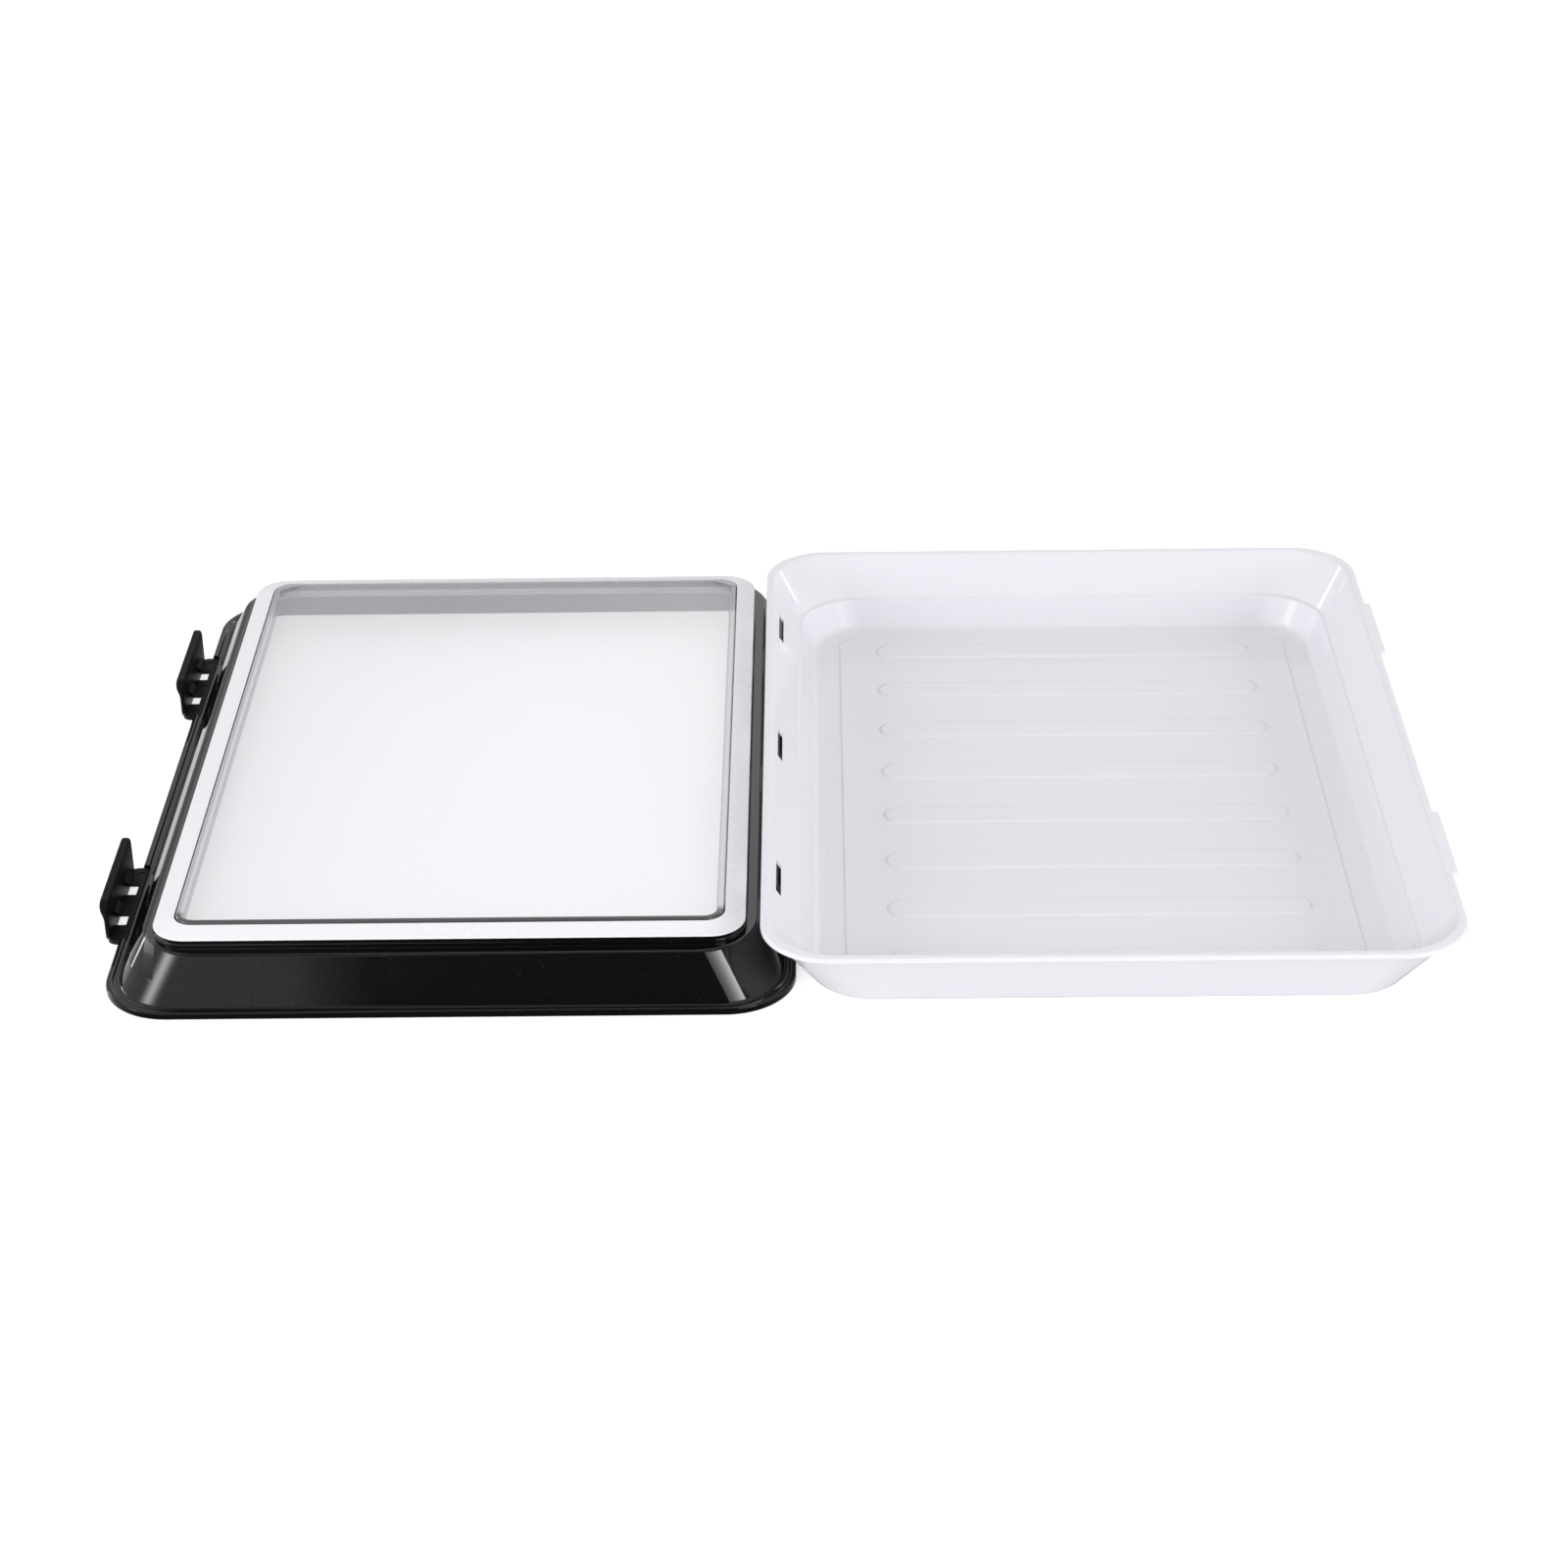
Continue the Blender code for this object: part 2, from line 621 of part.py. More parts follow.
def make_window_cutter(name, latch):
    bm = bmesh.new()
    for y in spread(2, WINDOW_SPACING):
        x_range = (-PADDLE_IN, -PADDLE_IN + WINDOW_WIDTH)
        y_range = (y - WINDOW_LENGTH / 2, y + WINDOW_LENGTH / 2)
        add_box(bm, x_range, y_range, (-WEB_THICKNESS, WEB_THICKNESS))
    return make_object(name + "_window_cutter", bm, latch)


def make_hooks(name, latch):
    # Two snap hooks over the windows: a flat catch below, a slope above
    bm = bmesh.new()
    catch_z = LIP_HEIGHT + RIM_EDGE + HOOK_CLEARANCE - HINGE_Z
    tip_out = HINGE_INSET + TAB_REACH - HOOK_BITE
    root_out = PADDLE_IN + PADDLE_WALL / 2
    points = [(root_out, catch_z), (tip_out, catch_z), (tip_out, catch_z + HOOK_HEIGHT / 3)]
    points += [(PADDLE_IN, catch_z + HOOK_HEIGHT), (root_out, catch_z + HOOK_HEIGHT)]
    half = HOOK_LENGTH / 2
    for y in spread(2, WINDOW_SPACING):
        add_prism(bm, points, y - half, y + half, lambda out, z, along: (-out, along, z))
    return make_object(name + "_hook_shapes", bm, latch)


def main():
    for obj in list(bpy.data.objects):
        bpy.data.objects.remove(obj, do_unlink=True)
    white = make_material("white_plastic", (0.80, 0.79, 0.83), 0.22)
    black = make_material("black_plastic", (0.012, 0.012, 0.013), 0.16)
    seal = make_material("white_seal", (0.80, 0.79, 0.82), 0.35)
    clear = make_material("clear_rim", (0.75, 0.76, 0.78), 0.08, 0.35)
    film = make_material("clear_film", (0.86, 0.86, 0.88), 0.12, 0.25)

    tray_place = make_empty("tray_place", TRAY_CENTRE)
    make_tray(tray_place, white)

    lid_place = make_empty("lid_place", LID_CENTRE)
    make_lid_frame(lid_place, black)
    make_sealing_ring(lid_place, seal)
    make_film_rim(lid_place, clear)
    make_film(lid_place, film)
    for name, y in zip(("latch_front", "latch_rear"), spread(LATCH_COUNT, TAB_SPACING)):
        make_latch(name, y, lid_place, black)


main()
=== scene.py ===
# Food storage tray laid open beside its lid of stretched film.
# Meshes are built in millimetres about the middle of the tray or the lid, then put in place in metres.
import math

import bmesh
import bpy
from mathutils import Matrix, Vector
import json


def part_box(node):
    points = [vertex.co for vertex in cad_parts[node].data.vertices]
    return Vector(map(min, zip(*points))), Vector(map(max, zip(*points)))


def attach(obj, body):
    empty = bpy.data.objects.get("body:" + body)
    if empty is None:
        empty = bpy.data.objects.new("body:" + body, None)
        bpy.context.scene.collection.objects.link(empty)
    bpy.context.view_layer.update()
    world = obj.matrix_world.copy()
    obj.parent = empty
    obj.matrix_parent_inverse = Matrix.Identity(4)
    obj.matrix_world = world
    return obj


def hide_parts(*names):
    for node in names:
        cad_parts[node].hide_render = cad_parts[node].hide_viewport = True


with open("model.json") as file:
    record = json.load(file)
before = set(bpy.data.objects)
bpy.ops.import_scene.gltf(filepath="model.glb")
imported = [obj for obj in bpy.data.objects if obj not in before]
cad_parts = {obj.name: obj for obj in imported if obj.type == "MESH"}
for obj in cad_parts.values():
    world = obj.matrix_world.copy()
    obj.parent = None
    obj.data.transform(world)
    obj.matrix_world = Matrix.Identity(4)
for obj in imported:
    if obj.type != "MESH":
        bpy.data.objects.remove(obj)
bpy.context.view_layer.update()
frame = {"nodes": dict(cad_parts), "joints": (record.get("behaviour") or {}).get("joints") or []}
print("frame loaded:", ", ".join(sorted(frame["nodes"])))

millimetre, metre = 0.001, 1000.0  # a millimetre in metres, and a metre in millimetres
mergeWithin = 0.0005

# the outline that tray and lid share, with the lid's lip set back a little
rimSize = {"halfWidth": 115.0, "halfLength": 153.0, "lipSetBack": 0.4, "spinRadius": 130.0}


def middleOf(node, halfWidth):
    low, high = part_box(node)
    return Vector((low.x * metre + halfWidth, (low.y + high.y) / 2 * metre, 0))


trayMiddle = middleOf("tray", rimSize["halfWidth"])
lidMiddle = middleOf("lid_frame", rimSize["halfWidth"] - rimSize["lipSetBack"])


# Shader nodes

class Wire:
    # a socket that can be added, multiplied and so on, each time through a Math node
    def __init__(self, paint, socket):
        self.paint = paint
        self.socket = socket

    def other(self, name):
        # another output of the same node
        return Wire(self.paint, self.socket.node.outputs[name])

    def join(self, operation, first, second):
        return self.paint.node("ShaderNodeMath", {"operation": operation}, [first, second])

    def __add__(self, other):
        return self.join("ADD", self, other)

    def __radd__(self, other):
        return self.join("ADD", other, self)

    def __sub__(self, other):
        return self.join("SUBTRACT", self, other)

    def __rsub__(self, other):
        return self.join("SUBTRACT", other, self)

    def __mul__(self, other):
        return self.join("MULTIPLY", self, other)

    def __rmul__(self, other):
        return self.join("MULTIPLY", other, self)

    def __pow__(self, other):
        return self.join("POWER", self, other)

    def __rpow__(self, other):
        return self.join("POWER", other, self)


class Paint:
    # a material's nodes, or the world's
    def __init__(self, name, world=False):
        self.owner = bpy.data.worlds.new(name) if world else bpy.data.materials.new(name)
        self.owner.use_nodes = True
        self.tree = self.owner.node_tree
        self.tree.nodes.clear()
        self.output = self.tree.nodes.new("ShaderNodeOutputWorld" if world else "ShaderNodeOutputMaterial")

    def node(self, kind, settings=None, inputs=None, out=0):
        made = self.tree.nodes.new(kind)
        for key, value in (settings or {}).items():
            setattr(made, key, value)
        pairs = inputs.items() if isinstance(inputs, dict) else enumerate(inputs or [])
        for key, value in pairs:
            socket = made.inputs[key]
            if isinstance(value, Wire):
                self.tree.links.new(value.socket, socket)
            else:
                socket.default_value = value
        return Wire(self, made.outputs[out])

    def place(self):
        return self.node("ShaderNodeTexCoord", out=3)  # Object coordinates

    def noise(self, scale, detail=2.0, roughness=0.5, where=None):
        values = {"Vector": where or self.place(), "Scale": scale, "Detail": detail, "Roughness": roughness}
        return self.node("ShaderNodeTexNoise", inputs=values)

    def stretched(self, scale, turn=0.0):
        values = {"Vector": self.place(), "Scale": scale, "Rotation": (0, 0, turn)}
        return self.node("ShaderNodeMapping", inputs=values)

    def fade(self, value, levels):
        # black below the first level and white above the second
        faded = self.node("ShaderNodeValToRGB", inputs=[value])
        for element, level in zip(faded.socket.node.color_ramp.elements, levels):
            element.position = level
        return faded

    def tint(self, factor, first, second):
        # a blend of two colours, each of them a tuple or a wire
        colours = [colour if isinstance(colour, Wire) else (*colour, 1) for colour in (first, second)]
        values = {0: factor, 6: colours[0], 7: colours[1]}
        return self.node("ShaderNodeMix", {"data_type": "RGBA"}, values, out=2)

    def rise(self, value, low, high):
        # 0 below a range and 1 above it, straight between
        return self.node("ShaderNodeClamp", inputs=[(value - low) * (1 / (high - low))])

    def risen(self, value, edge, soft):
        # 0 below an edge and 1 above it, with a soft step
        return self.node("ShaderNodeClamp", inputs=[(value - edge) * (1 / soft) + 0.5])

    def between(self, value, low, high, soft):
        # 1 inside a range and 0 outside it, with soft ends
        return self.risen(value, low, soft) * self.risen(value * -1.0, -high, soft)

    def bump(self, height, distance, normal=None):
        values = {"Height": height, "Distance": distance, "Strength": 1.0}
        if normal:
            values["Normal"] = normal
        return self.node("ShaderNodeBump", inputs=values)

    def show(self, surface):
        self.tree.links.new(surface.socket, self.output.inputs["Surface"])
        return self.owner


# marks that the pieces share; levels are those of the noise between which a mark fades in
wear = {
    "flowDetail": 3.0, "peelDetail": 2.0, "sinkDetail": 1.0, "speckLevels": (0.80, 0.84),
    "smudge": {"detail": 4.0, "roughness": 0.6, "levels": (0.42, 0.72)},
    "scratches": [
        {"scale": (900, 22, 60), "turn": 0.6, "levels": (0.69, 0.74)},
        {"scale": (26, 1100, 60), "turn": 0.35, "levels": (0.70, 0.75)},
    ],
    "scratchPatch": {"scale": 14.0, "levels": (0.48, 0.62)},
    "clearSmudge": {"detail": 3.0, "roughness": 0.6},
}


def scratchMarks(paint):
    first, second = [
        paint.fade(paint.noise(1.0, 1.0, 0.5, paint.stretched(mark["scale"], mark["turn"])), mark["levels"])
        for mark in wear["scratches"]
    ]
    patch = wear["scratchPatch"]
    return (first + second) * paint.fade(paint.noise(patch["scale"]), patch["levels"])


def crownBump(paint, crown, normal):
    # the left skirt leans back a little more towards its top, which shows only at a slant
    spot = paint.node("ShaderNodeSeparateXYZ", inputs=[paint.place()])
    left = paint.risen(spot * -1.0, -crown["left"], crown["soft"])
    rise = paint.rise(spot.other("Z"), crown["low"], crown["high"])
    return paint.bump(rise * left * -1.0, crown["depth"], normal)


def mouldedPlastic(name, look, crown=None):
    # glossy moulded plastic: slight flow marks in colour and gloss, fine scratches, dust
    paint = Paint(name)
    flow = paint.noise(look["flowScale"], wear["flowDetail"])
    smudge = wear["smudge"]
    smudgeNoise = paint.noise(look["smudgeScale"], smudge["detail"], smudge["roughness"])
    smudged = paint.fade(smudgeNoise, smudge["levels"])
    speck = paint.fade(paint.noise(look["speckScale"], 0.0), wear["speckLevels"])
    body = paint.tint(flow, look["colour"], look["colourLow"])
    dusty = paint.tint(speck * look["speckShare"], body, look["speckColour"])
    rough = look["rough"] + smudged * look["roughSmudge"] + scratchMarks(paint) * look["roughScratch"]
    peel = paint.bump(paint.noise(look["peelScale"], wear["peelDetail"]), look["peelDepth"])
    normal = paint.bump(paint.noise(look["sinkScale"], wear["sinkDetail"]), look["sinkDepth"], peel)
    if crown:
        normal = crownBump(paint, crown, normal)
    surface = paint.node(
        "ShaderNodeBsdfPrincipled",
        inputs={"Base Color": dusty, "Roughness": rough, "Normal": normal, "IOR": look["ior"]},
    )
    return paint.show(surface)


trayLook = {
    "colour": (0.733, 0.713, 0.762), "colourLow": (0.713, 0.697, 0.751), "rough": 0.08, "roughSmudge": 0.05,
    "roughScratch": 0.12, "flowScale": 9.0, "smudgeScale": 22.0, "speckScale": 900.0, "speckShare": 0.10,
    "speckColour": (0.50, 0.49, 0.50), "peelScale": 420.0, "peelDepth": 0.000012, "sinkScale": 26.0,
    "sinkDepth": 0.00010, "ior": 1.5,
}
blackLook = {
    "colour": (0.0028, 0.0028, 0.0031), "colourLow": (0.0036, 0.0035, 0.0038), "rough": 0.05,
    "roughSmudge": 0.05, "roughScratch": 0.12, "flowScale": 12.0, "smudgeScale": 30.0,
    "speckScale": 1500.0, "speckShare": 0.15, "speckColour": (0.12, 0.12, 0.12),
    "peelScale": 500.0, "peelDepth": 0.000002, "sinkScale": 30.0, "sinkDepth": 0.00006, "ior": 1.5,
}
skirtCrown = {"left": -0.206, "soft": 0.004, "low": 0.0080, "high": 0.0172, "depth": 0.0017}
latchLook = {
    **blackLook, "colour": (0.0050, 0.0050, 0.0054), "colourLow": (0.0065, 0.0064, 0.0068), "rough": 0.45,
    "roughSmudge": 0.10, "peelDepth": 0.00002, "ior": 1.2,
}
ringLook = {
    "colour": (0.80, 0.79, 0.82), "colourLow": (0.785, 0.775, 0.81), "rough": 0.22, "roughSmudge": 0.10,
    "roughScratch": 0.04, "flowScale": 14.0, "smudgeScale": 30.0, "speckScale": 800.0, "speckShare": 0.15,
    "speckColour": (0.45, 0.44, 0.45), "peelScale": 700.0, "peelDepth": 0.00001, "sinkScale": 40.0,
    "sinkDepth": 0.00008, "ior": 1.45,
}
filmLook = {
    "clear": (0.95, 0.95, 0.955), "haze": 0.20, "hazeSmudge": 0.012, "hazeColour": (0.89, 0.88, 0.93),
    "gloss": 0.04, "glossRough": 0.05, "glossColour": (1.0, 1.0, 1.0),
    "rippleScale": 10.0, "rippleDetail": 1.5, "rippleDepth": 0.00012,
    "smudgeScale": 12.0, "smudgeLevels": (0.45, 0.75),
}
beadLook = {
    # the near share and near colour paint the rim's near side dark: painted shade standing in for the dark
    # channel below it
    "clear": (0.95, 0.95, 0.955), "milk": 0.42, "milkColour": (0.70, 0.69, 0.73), "nearPaintedShadeShare": 0.92,
    "nearPaintedShade": (0.07, 0.07, 0.074), "farMilk": 0.30, "reach": 0.1215, "reachSoft": 0.004,
    "rough": 0.04, "roughSmudge": 0.05, "ior": 1.47,
    "gloss": 0.04, "glossRough": 0.04, "glossColour": (0.8, 0.8, 0.8),
    "rippleScale": 30.0, "rippleDetail": 2.0, "rippleDepth": 0.000006,
    "smudgeScale": 120.0, "smudgeLevels": (0.5, 0.8),
}


def rippledAndSmudged(paint, look):
    ripple = paint.bump(paint.noise(look["rippleScale"], look["rippleDetail"]), look["rippleDepth"])
    smudge = wear["clearSmudge"]
    smudgeNoise = paint.noise(look["smudgeScale"], smudge["detail"], smudge["roughness"])
    return ripple, paint.fade(smudgeNoise, look["smudgeLevels"])


def glossed(paint, look, ripple, body):
    # glossier towards grazing, the same from both sides, where a Fresnel node makes back faces mirrors
    values = {"Roughness": look["glossRough"], "Normal": ripple, "Color": (*look["glossColour"], 1)}
    gloss = paint.node("ShaderNodeBsdfGlossy", inputs=values)
    facing = paint.node("ShaderNodeLayerWeight", inputs={"Blend": 0.5, "Normal": ripple}, out=1)
    share = look["gloss"] + (1 - look["gloss"]) * facing ** 5
    return paint.show(paint.node("ShaderNodeMixShader", inputs=[share, body, gloss]))


def filmPaint(look):
    # thin clear film: mostly see-through, a little milky
    paint = Paint("stretchedFilm")
    ripple, smudge = rippledAndSmudged(paint, look)
    clear = paint.node("ShaderNodeBsdfTransparent", inputs={"Color": (*look["clear"], 1)})
    milky = paint.node("ShaderNodeBsdfDiffuse", inputs={"Color": (*look["hazeColour"], 1)})
    haze = look["haze"] + smudge * look["hazeSmudge"]
    return glossed(paint, look, ripple, paint.node("ShaderNodeMixShader", inputs=[haze, clear, milky]))


def beadPaint(look):
    # clear moulded rim with painted shade: its near side is painted dark, standing in for the shade of the
    # dark channel below it, and its far side is set less milky, to the film's milky grey
    paint = Paint("clearRim")
    ripple, smudge = rippledAndSmudged(paint, look)
    back = paint.node("ShaderNodeSeparateXYZ", inputs=[paint.place()], out=1) - lidMiddle.y * millimetre
    # near marks the rim's near side, where the dark colour is painted as shade; far marks the far side, set
    # less milky
    near = paint.risen(0.0 - back, look["reach"], look["reachSoft"])
    far = paint.risen(back, look["reach"], look["reachSoft"])
    milk = look["milk"] + near * (look["nearPaintedShadeShare"] - look["milk"]) + far * (look["farMilk"] - look["milk"])
    clear = paint.node("ShaderNodeBsdfTransparent", inputs={"Color": (*look["clear"], 1)})
    body = paint.node(
        "ShaderNodeBsdfPrincipled",
        inputs={
            "Base Color": paint.tint(near, look["milkColour"], look["nearPaintedShade"]),
            "Roughness": look["rough"] + smudge * look["roughSmudge"], "IOR": look["ior"], "Normal": ripple,
        },
    )
    return glossed(paint, look, ripple, paint.node("ShaderNodeMixShader", inputs=[milk, clear, body]))


paints = {
    "tray": mouldedPlastic("trayPlastic", trayLook),
    "black": mouldedPlastic("blackPlastic", blackLook, skirtCrown),
    "latch": mouldedPlastic("blackSatinPlastic", latchLook),
    "ring": mouldedPlastic("ringRubber", ringLook),
    "film": filmPaint(filmLook),
    "bead": beadPaint(beadLook),
}
print("materials made:", len(paints))


# Mesh helpers

def sectionLine(bm, points):
    # lays out (inset, height, rounding) points as a line of edges
    line = []
    for inset, height, rounding in points:
        line.append((bm.verts.new((rimSize["spinRadius"] - inset, 0, height)), rounding))
    for (first, _), (second, _) in zip(line, line[1:]):
        bm.edges.new((first, second))
    return line


def sweepRound(section, cornerRadius, closed, steps=20, straight=1, roundSteps=4):
    # a section spun round one corner, run out to the middle of both sides, then mirrored twice
    bm = bmesh.new()
    line = sectionLine(bm, section)
    if closed:
        bm.edges.new((line[-1][0], line[0][0]))
    for vert, rounding in line:
        if rounding:
            bmesh.ops.bevel(
                bm, geom=[vert], offset=rounding, offset_type="OFFSET", segments=roundSteps, profile=0.5,
                affect="VERTICES", material=-1,
            )
    start = list(bm.edges)
    spun = bmesh.ops.spin(
        bm, geom=bm.verts[:] + start, cent=(0, 0, 0), axis=(0, 0, 1), dvec=(0, 0, 0), angle=math.pi / 2,
        steps=steps, use_merge=False, use_normal_flip=False, use_duplicate=False,
    )
    finish = [g for g in spun["geom_last"] if isinstance(g, bmesh.types.BMEdge)]
    for vert in bm.verts:
        reach = math.hypot(vert.co.x, vert.co.y)
        inset = rimSize["spinRadius"] - reach
        radius = cornerRadius(inset, vert.co.z)
        vert.co.x = rimSize["halfWidth"] - inset - radius + radius * vert.co.x / reach
        vert.co.y = rimSize["halfLength"] - inset - radius + radius * vert.co.y / reach
    for edges, keepX in ((start, True), (finish, False)):
        for step in range(straight, 0, -1):
            run = bmesh.ops.extrude_edge_only(bm, edges=edges)["geom"]
            edges = [g for g in run if isinstance(g, bmesh.types.BMEdge)]
            ends = [g for g in run if isinstance(g, bmesh.types.BMVert)]
            share = (step - 1) / step
            bmesh.ops.scale(bm, vec=(1, share, 1) if keepX else (share, 1, 1), verts=ends)
    for axis in ("X", "Y"):
        geom = bm.verts[:] + bm.edges[:] + bm.faces[:]
        bmesh.ops.mirror(bm, geom=geom, matrix=Matrix.Identity(4), merge_dist=mergeWithin, axis=axis)
    if not closed:
        bmesh.ops.holes_fill(bm, edges=[e for e in bm.edges if e.is_boundary], sides=0)
    bmesh.ops.recalc_face_normals(bm, faces=bm.faces)
    return bm


def raisedPad(halfLength, halfWidth, base, steps, segments=32):
    # a long pad with round ends, whose edge rises by (inset, rise) steps
    bm = bmesh.new()
    bmesh.ops.create_circle(bm, cap_ends=True, radius=halfWidth, segments=segments)
    bmesh.ops.rotate(bm, cent=(0, 0, 0), matrix=Matrix.Rotation(math.pi / segments, 3, "Z"), verts=bm.verts)
    for side in (1, -1):
        ends = [v for v in bm.verts if v.co.x * side > 0]
        bmesh.ops.translate(bm, vec=((halfLength - halfWidth) * side, 0, 0), verts=ends)
    bmesh.ops.translate(bm, vec=(0, 0, base), verts=bm.verts)
    foot = bm.faces[:]
    top = bmesh.ops.extrude_face_region(bm, geom=foot)["geom"]
    face = [g for g in top if isinstance(g, bmesh.types.BMFace)]
    for inset, rise in steps:
        if inset:
            bmesh.ops.inset_region(bm, faces=face, thickness=inset, depth=0, use_even_offset=True)
        bmesh.ops.translate(bm, vec=(0, 0, rise), verts=face[0].verts[:])
    bmesh.ops.recalc_face_normals(bm, faces=bm.faces)
    return bm


def roundedBox(size, middle, rounding, segments=3):
    bm = bmesh.new()
    bmesh.ops.create_cube(bm, size=1.0)
    bmesh.ops.scale(bm, vec=size, verts=bm.verts)
    if rounding:
        bmesh.ops.bevel(
            bm, geom=bm.edges[:], offset=rounding, segments=segments, profile=0.5, affect="EDGES", material=-1
        )
    bmesh.ops.translate(bm, vec=middle, verts=bm.verts)
    return bm


def pushedOutline(points, halfLength):
    # a closed (outward to the left, height) outline pushed along Y
    bm = bmesh.new()
    face = bm.faces.new([bm.verts.new((-out, -halfLength, height)) for out, height in points])
    run = bmesh.ops.extrude_face_region(bm, geom=[face])["geom"]
    ends = [g for g in run if isinstance(g, bmesh.types.BMVert)]
    bmesh.ops.translate(bm, vec=(0, 2 * halfLength, 0), verts=ends)
    bmesh.ops.recalc_face_normals(bm, faces=bm.faces)
    return bm


def asObject(bm, name):
    mesh = bpy.data.meshes.new(name)
    bm.to_mesh(mesh)
    bm.free()
    obj = bpy.data.objects.new(name, mesh)
    bpy.context.scene.collection.objects.link(obj)
    return obj


def worked(bm, jobs):
    # applies Boolean jobs, each an operation and a list of tool meshes, and gives back a mesh
    target = asObject(bm, "work")
    tools = []
    for operation, shapes in jobs:
        for shape in shapes:
            tool = asObject(shape, "tool")
            tools.append(tool)
            boolean = target.modifiers.new("work", "BOOLEAN")
            boolean.operation = operation
            boolean.solver = "EXACT"
            boolean.object = tool
    bpy.context.view_layer.update()
    shaped = target.evaluated_get(bpy.context.evaluated_depsgraph_get())
    result = bmesh.new()
    result.from_mesh(shaped.data)
    for obj in [target, *tools]:
        bpy.data.objects.remove(obj)
    return result


def joined(parts):
    bm = bmesh.new()
    for part in parts:
        mesh = bpy.data.meshes.new("part")
        part.to_mesh(mesh)
        part.free()
        bm.from_mesh(mesh)
        bpy.data.meshes.remove(mesh)
    return bm


def moved(bm, offset):
    bmesh.ops.translate(bm, vec=offset, verts=bm.verts)
    return bm


softening = {"fromAngle": 35, "segments": 2}


def finishPiece(bm, name, middle, body, node, paint, sharpAt=38, bevel=None):
    # puts a piece in its place in metres; edges sharper than sharpAt degrees stay sharp
    bmesh.ops.translate(bm, vec=middle, verts=bm.verts)
    bmesh.ops.scale(bm, vec=(millimetre, millimetre, millimetre), verts=bm.verts)
    obj = asObject(bm, name)
    obj.data.shade_smooth()
    obj.data.set_sharp_from_angle(angle=math.radians(sharpAt))
    obj.data.materials.append(paint)
    if bevel:
        soften = obj.modifiers.new("soften", "BEVEL")
        soften.width, soften.segments = bevel * millimetre, softening["segments"]
        soften.limit_method, soften.angle_limit = "ANGLE", math.radians(softening["fromAngle"])
        soften.harden_normals = False
    even = obj.modifiers.new("evenShading", "WEIGHTED_NORMAL")
    even.keep_sharp = True
    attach(obj, body)
    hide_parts(node)
    print("piece made:", name, len(obj.data.polygons), "faces")
    return obj


# Tray

tray = {
    "section": [
        (24.0, 0.0, 0), (17.33, 0.0, 2.4), (2.0, 25.1, 0.5), (0.0, 25.1, 0.35), (0.0, 27.0, 0.6),
        (2.9, 27.0, 0.7), (12.4, 12.2, 0.7), (13.4, 12.2, 0.45), (18.12, 1.8, 1.65), (28.0, 1.8, 0.25),
        (28.4, 2.1, 0.2), (33.0, 2.1, 0),
    ],
    "ledgeHeight": 12.2, "height": 27.0, "baseCorner": 19.0, "ledgeCorner": 22.2, "rimCorner": 23.1,
    "panelInset": 25.0, "panelAbove": 1.0, "panelCorner": 6.0, "panelTop": 2.1,
    "ribCount": 8, "ribSpacing": 32.35, "ribHalfLength": 72.8, "ribHalfWidth": 6.05, "ribSunk": 1.15,
    "ribSteps": [(0, 1.1), (0.3, 0.12), (0.25, 0.16), (0.25, 0.13), (0.35, 0.10), (0.5, 0.05)],
    "slotCount": 3, "slotSpacing": 93.8, "slotHalfLength": 10.0, "pocketHalfLength": 14.5,
    "slotSection": [(0.5, 12.2), (0.5, 23.8), (12.4, 23.8), (12.4, 20.8), (6.54, 20.8), (6.54, 12.2)],
    "pocketSection": [(0.5, 12.2), (0.5, 24.4), (3.61, 24.4), (8.2, 17.3), (8.2, 12.2)],
    "tabCount": 2, "tabSpacing": 162.0, "tabSize": (3.6, 41.5, 1.5), "tabReach": 2.0, "tabSunk": 0.02,
    "tabRound": 0.55,
    "markPlaces": [(-90.0, 42.4), (-90.0, -42.4), (92.0, 42.4), (92.0, -42.4)],
    "markHalfLength": 3.0, "markHalfWidth": 2.99, "markBase": 1.2,
    "markSteps": [(0, 0.58), (0.12, 0.07), (0.12, 0.05), (0.25, 0.0), (0.15, -0.06)],
}


def spaced(count, spacing):
    return [(i - (count - 1) / 2) * spacing for i in range(count)]


def trayCorner(inset, height):
    if inset > tray["panelInset"] and height > tray["panelAbove"]:
        return tray["panelCorner"]
    if height < tray["ledgeHeight"]:
        share = max(height, 0) / tray["ledgeHeight"]
        return tray["baseCorner"] + share * (tray["ledgeCorner"] - tray["baseCorner"])
    share = (height - tray["ledgeHeight"]) / (tray["height"] - tray["ledgeHeight"])
    return tray["ledgeCorner"] + share * (tray["rimCorner"] - tray["ledgeCorner"])


shell = sweepRound(tray["section"], trayCorner, closed=False, steps=24)
slots = []
for y in spaced(tray["slotCount"], tray["slotSpacing"]):
    for section, half in (("pocketSection", "pocketHalfLength"), ("slotSection", "slotHalfLength")):
        outline = [(rimSize["halfWidth"] - inset, height) for inset, height in tray[section]]
        slots.append(moved(pushedOutline(outline, tray[half]), (0, y, 0)))
shell = worked(shell, [("DIFFERENCE", slots)])

